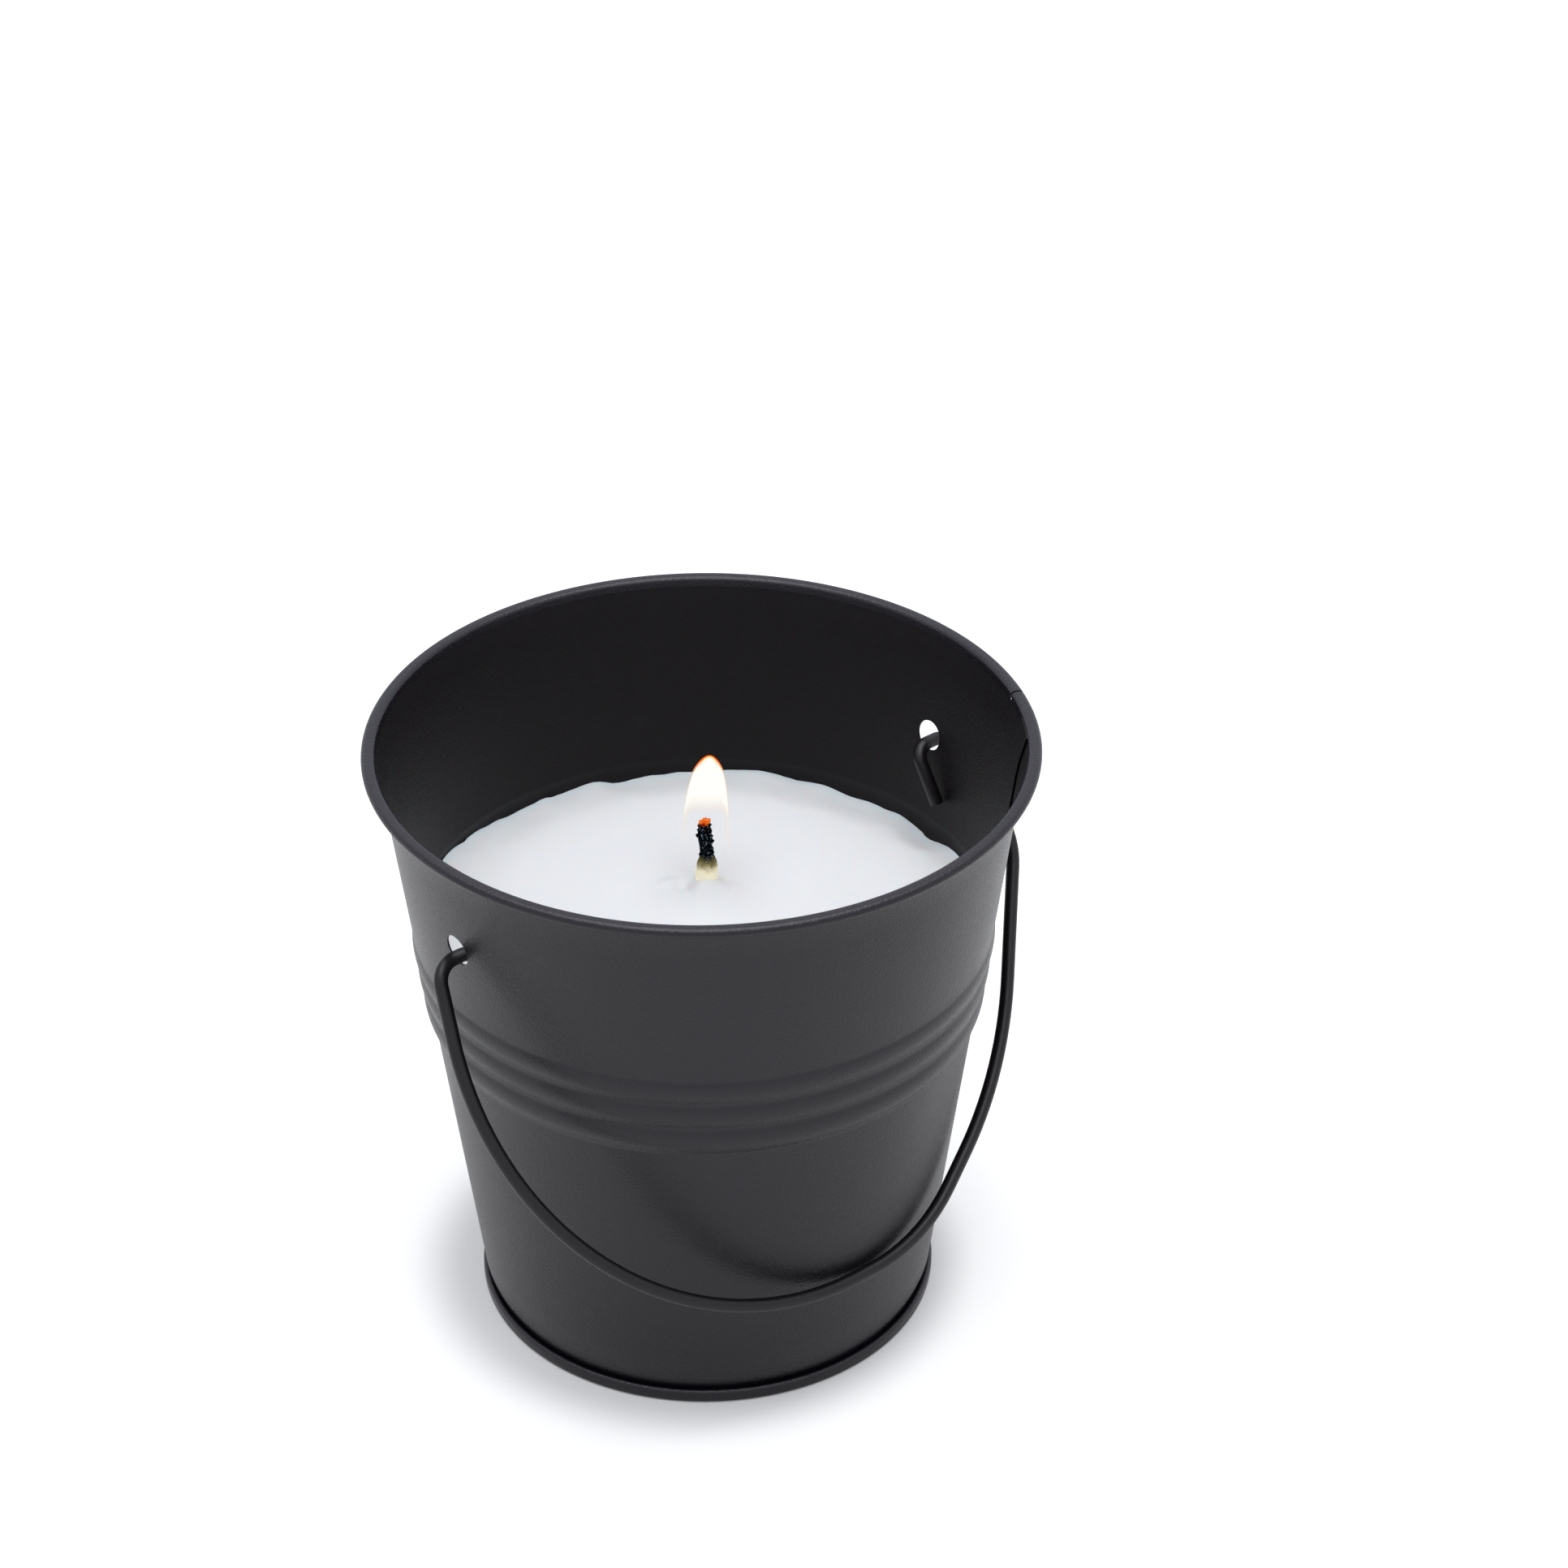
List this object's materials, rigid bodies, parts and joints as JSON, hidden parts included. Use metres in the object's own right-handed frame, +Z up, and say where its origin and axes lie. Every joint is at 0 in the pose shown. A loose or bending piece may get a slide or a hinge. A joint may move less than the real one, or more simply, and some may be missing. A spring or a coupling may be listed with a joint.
{
  "type": "citronella candle bucket",
  "caption": "Small tapered metal bucket filled with candle wax and a wick, with a swinging wire bail for carrying or hanging.",
  "frame": {"origin": "middle of the foot, on the plane it stands on", "axes": "+Z up; +X along the line through the two bail holes; the bail lies on the front of the wall, which is the -Y side"},
  "size_m": [0.1068, 0.0998, 0.0965],
  "materials": {
    "black_paint": "satin",
    "black_wire": "satin",
    "bare_tin": "satin",
    "wax": "satin",
    "cotton": "matte"
  },
  "bodies": {
    "bucket": {"bucket_wall": "black_paint", "base_plate": "black_paint", "candle_wax": "wax", "wick": "cotton", "wick_sustainer": "bare_tin"},
    "bail": {"bail_handle": "black_wire"}
  },
  "joints": [
    {"name": "bail_hinge", "type": "hinge", "parent": "bucket", "child": "bail", "pos_m": [0, 0, 0.078], "axis": [-1, 0, 0], "range_deg": [0, 292]}
  ]
}
